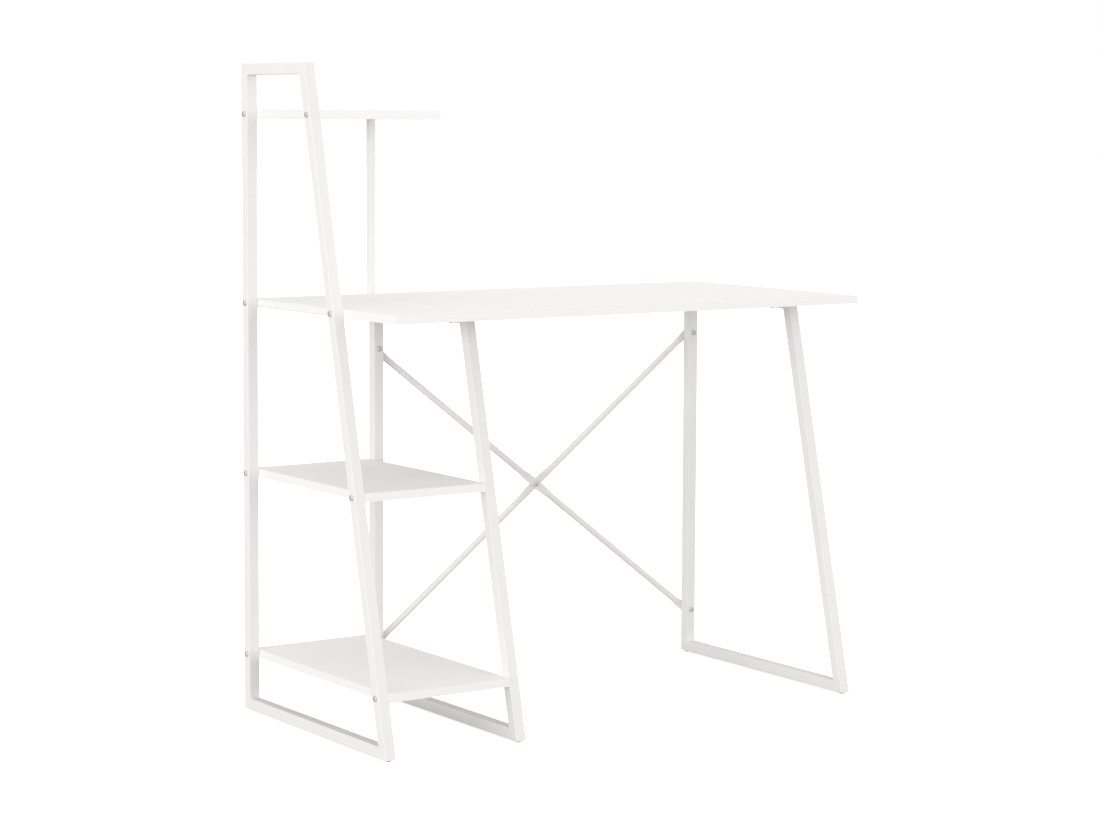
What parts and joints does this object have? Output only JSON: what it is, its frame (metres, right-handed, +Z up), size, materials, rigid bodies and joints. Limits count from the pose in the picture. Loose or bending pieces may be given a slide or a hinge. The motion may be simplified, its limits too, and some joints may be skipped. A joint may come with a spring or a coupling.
{
  "type": "ladder desk",
  "caption": "Writing desk on leaning square-tube frames, with a ladder of shelves at its left end and a cross brace behind the knee space.",
  "frame": {"origin": "on the floor, under the middle of the desk's box", "axes": "+X along the desktop away from the tall frame, +Y to the back, +Z up"},
  "size_m": [1.0234, 0.511, 1.17],
  "materials": {
    "frame_coat": "white powder coat, satin",
    "board_face": "white melamine on particle board, fine satin grain",
    "edge_band": "white plastic edge band, satin",
    "zinc_steel": "zinc-plated steel",
    "glide_plastic": "grey plastic"
  },
  "bodies": {
    "root": {"tall_frame_rear_post": "frame_coat", "tall_frame_front_leg": "frame_coat", "tall_frame_top_rail": "frame_coat", "tall_frame_floor_rail": "frame_coat", "middle_frame_rear_post": "frame_coat", "middle_frame_front_leg": "frame_coat", "middle_frame_top_rail": "frame_coat", "middle_frame_floor_rail": "frame_coat", "right_frame_rear_post": "frame_coat", "right_frame_front_leg": "frame_coat", "right_frame_top_rail": "frame_coat", "right_frame_floor_rail": "frame_coat", "desktop_board": "board_face", "desktop_edge_bands": "edge_band", "top_shelf_board": "board_face", "top_shelf_edge_bands": "edge_band", "middle_shelf_board": "board_face", "middle_shelf_edge_bands": "edge_band", "bottom_shelf_board": "board_face", "bottom_shelf_edge_bands": "edge_band", "riser_post": "frame_coat", "brace_rod_falling": "frame_coat", "brace_rod_rising": "frame_coat", "riser_end_plugs": "zinc_steel", "riser_screws": "zinc_steel", "brace_end_bolts": "zinc_steel", "brace_crossing_bolt": "zinc_steel", "brace_nuts": "zinc_steel", "tall_frame_bolts": "zinc_steel", "middle_frame_bolts": "zinc_steel", "board_inserts": "zinc_steel", "desktop_screws": "zinc_steel", "glides": "glide_plastic"}
  },
  "joints": []
}
